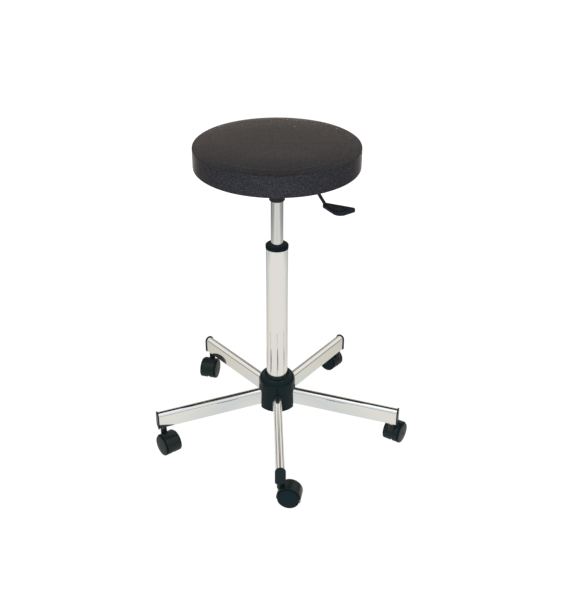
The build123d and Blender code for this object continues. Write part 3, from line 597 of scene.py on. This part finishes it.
def make_paper():
    """White paper that glows where it is seen, so that shadows stay faint; mirrors see painted light and
    shade on it.
    """
    material, tree, shader = start_material("floor_paper", FLOOR_COLOR)
    shader.inputs["Roughness"].default_value = FLOOR_ROUGHNESS
    camera_ray, mirror_ray = add_ray_kinds(tree)
    place = object_place(tree)
    axes = add_node(tree, "SeparateXYZ", {0: place})
    # Painted light and shade seen in mirrors: lit paper in front, and a painted shadow of the stool in a band
    # behind it
    bands = add_ramp(tree, map_range(tree, axes.outputs["Y"], PAPER_DEPTH), PAPER_LIGHT_AND_SHADOW_BANDS)
    aside = add_math(tree, "ABSOLUTE", axes.outputs["X"])
    # Painted shade darkens the paper to both sides
    side_shade = map_range(tree, aside, PAPER_SIDE, (1.0, PAPER_SIDE_SHADE))
    side_shaded = add_node(tree, "VectorMath", {0: bands, "Scale": side_shade}, operation="SCALE")
    # Painted pool of cool light from the lamp by the camera
    to_lamp_pool = add_node(tree, "VectorMath", {0: place, 1: LAMP_POOL_MIDDLE}, operation="DISTANCE")
    off_lamp_pool = map_range(tree, to_lamp_pool.outputs["Value"], LAMP_POOL_REACH)
    lamp_pooled = mix_colors(tree, off_lamp_pool, LAMP_POOL_COLOR, side_shaded.outputs[0])
    away = add_node(tree, "VectorMath", {0: place}, operation="LENGTH").outputs["Value"]
    # Painted cool light in a ring round the column
    cool_light_share = add_ramp(tree, add_math(tree, "DIVIDE", away, COOL_REACH), COOL_LIGHT_BANDS)
    mirrored = mix_colors(tree, cool_light_share, lamp_pooled, PAPER_COOL_LIGHT)
    shown = mix_colors(tree, camera_ray, mirrored, map_range(tree, away, GLOW_REACH, GLOW_LEVEL))
    glow = add_node(tree, "Emission", {"Color": shown})
    glow_share = add_math(tree, "MAXIMUM", add_math(tree, "MULTIPLY", camera_ray, FLOOR_GLOW), mirror_ray)
    mixed = add_node(
        tree, "MixShader", {0: glow_share, 1: shader.outputs["BSDF"], 2: glow.outputs["Emission"]}
    )
    tree.links.new(mixed.outputs[0], tree.nodes["Material Output"].inputs["Surface"])
    return material


floor_disc = bmesh.new()
bmesh.ops.create_circle(floor_disc, cap_ends=True, segments=FLOOR_STEPS, radius=FLOOR_RADIUS)
floor = place_mesh(floor_disc, "floor")
floor.data.materials.append(make_paper())


# Room
# White to the camera and a little even light to everything else. Mirrors see pale walls that are dim near the
# horizon and dark low behind, with a dark gap between the walls straight behind.
WHITE = (1.0, 1.0, 1.0, 1.0)
EVEN_LIGHT = (0.17, 0.17, 0.17, 1.0)
WALL_BANDS = (                          # share of the way from front horizon over the top to back horizon
    (0.00, (0.80, 0.90, 1.00)), (0.30, (0.90, 0.95, 1.00)), (0.55, (0.97, 0.97, 0.97)),
    (0.895, (0.95, 0.92, 0.82)), (0.925, (0.10, 0.10, 0.11)), (1.00, (0.06, 0.07, 0.08)),
)
HORIZON_BANDS = (                       # rise over the horizon, and how much of the walls' light is left
    (0.00, (0.28, 0.31, 0.35)), (0.10, (0.46, 0.48, 0.51)), (0.24, (0.90, 0.91, 0.92)),
    (0.40, (1.0, 1.0, 1.0)), (1.00, (1.0, 1.0, 1.0)),
)
GAP_WIDTH = (0.25, 0.36)                # half width of the dark gap low down and near the top
GAP_RISE = (0.60, 0.97)                 # rise over which it widens
GAP_EDGE = (0.0, 0.05)                  # from its edge inwards, over which it darkens
GAP_LOW = (0.40, 0.52)                  # rise over the horizon where it begins
GAP_FRONT = (0.10, 0.16)                # distance behind the zenith where it ends
GAP_LIGHT = (0.02, 0.02, 0.02, 1.0)


def make_world():
    """The room, as the camera, mirrors and all other surfaces see it."""
    world = bpy.data.worlds.new("studio")
    bpy.context.scene.world = world
    world.use_nodes = True
    tree = world.node_tree
    camera_ray, mirror_ray = add_ray_kinds(tree)
    direction = add_node(tree, "TexCoord")
    axes = add_node(tree, "SeparateXYZ", {0: direction.outputs["Generated"]})
    aside, back, up = axes.outputs["X"], axes.outputs["Y"], axes.outputs["Z"]
    over_the_top = add_math(tree, "ARCTAN2", up, add_math(tree, "MULTIPLY", back, -1.0))
    walls = add_ramp(tree, add_math(tree, "DIVIDE", over_the_top, math.pi), WALL_BANDS)
    room = mix_colors(tree, 1.0, walls, add_ramp(tree, up, HORIZON_BANDS), blend_type="MULTIPLY")
    half_width = map_range(tree, up, GAP_RISE, GAP_WIDTH)
    inside = add_math(tree, "SUBTRACT", half_width, add_math(tree, "ABSOLUTE", aside))
    gap_share = map_range(tree, inside, GAP_EDGE)
    for value, limits in ((up, GAP_LOW), (back, GAP_FRONT)):
        gap_share = add_math(tree, "MULTIPLY", gap_share, map_range(tree, value, limits))
    gapped = mix_colors(tree, gap_share, room, GAP_LIGHT)
    lit = mix_colors(tree, mirror_ray, EVEN_LIGHT, gapped)
    shown = mix_colors(tree, camera_ray, lit, WHITE)
    tree.links.new(shown, tree.nodes["Background"].inputs["Color"])


make_world()


# Lamps
# Soft boxes: weak ones overhead and to both sides, a cool one by the camera, and a long low strip behind that
# grazes the seat for its warm sheen. The two strong ones are hidden from mirrors.
WARM = (1.0, 0.93, 0.85)
SOFT_BOXES = (                          # name, place, aim, width and height, watts, colour, seen in mirrors
    ("overhead_box", (-0.2, -1.3, 3.0), (0.0, 0.0, 0.5), (1.2, 1.2), 3.0, (1.0, 0.97, 0.94), True),
    ("back_strip", (-0.2, 2.2, 0.835), (0.0, 0.0, 0.735), (1.7, 0.10), 75.0, (1.0, 0.90, 0.84), False),
    ("left_box", (-1.2, -1.0, 2.6), (0.0, 0.0, 0.1), (0.7, 0.7), 3.0, WARM, True),
    ("right_box", (1.2, -1.0, 2.6), (0.0, 0.0, 0.1), (0.7, 0.7), 3.0, WARM, True),
    ("camera_box", (-0.2, -2.4, 1.35), (0.0, 0.0, 0.5), (0.6, 0.6), 70.0, (0.76, 0.86, 1.0), False),
)

for name, place, aim, size, watts, color, mirrored in SOFT_BOXES:
    lamp = bpy.data.lights.new(name, "AREA")
    lamp.shape = "RECTANGLE"
    lamp.size, lamp.size_y = size
    lamp.energy = watts
    lamp.color = color
    holder = bpy.data.objects.new(name, lamp)
    bpy.context.scene.collection.objects.link(holder)
    holder.visible_glossy = mirrored
    holder.location = place
    holder.rotation_euler = (Vector(aim) - Vector(place)).to_track_quat("-Z", "Y").to_euler()


# Camera
# Stands in front of the stool at the photograph's height and angle, a little off the axis of the front leg.
# The shift puts the stool where the photograph has it.
CAMERA_PLACE = (-0.0437, -1.8062, 1.3816)
CAMERA_PITCH = 0.5187
CAMERA_TURN = -0.0242
CAMERA_LENS = 54.36
CAMERA_SHIFT = 0.0116

camera = bpy.data.objects.new("camera", bpy.data.cameras.new("camera"))
bpy.context.scene.collection.objects.link(camera)
camera.location = CAMERA_PLACE
camera.rotation_euler = (math.pi / 2 - CAMERA_PITCH, 0.0, CAMERA_TURN)
camera.data.lens = CAMERA_LENS
camera.data.shift_x = CAMERA_SHIFT
bpy.context.scene.camera = camera
bpy.context.scene.view_settings.view_transform = "Standard"
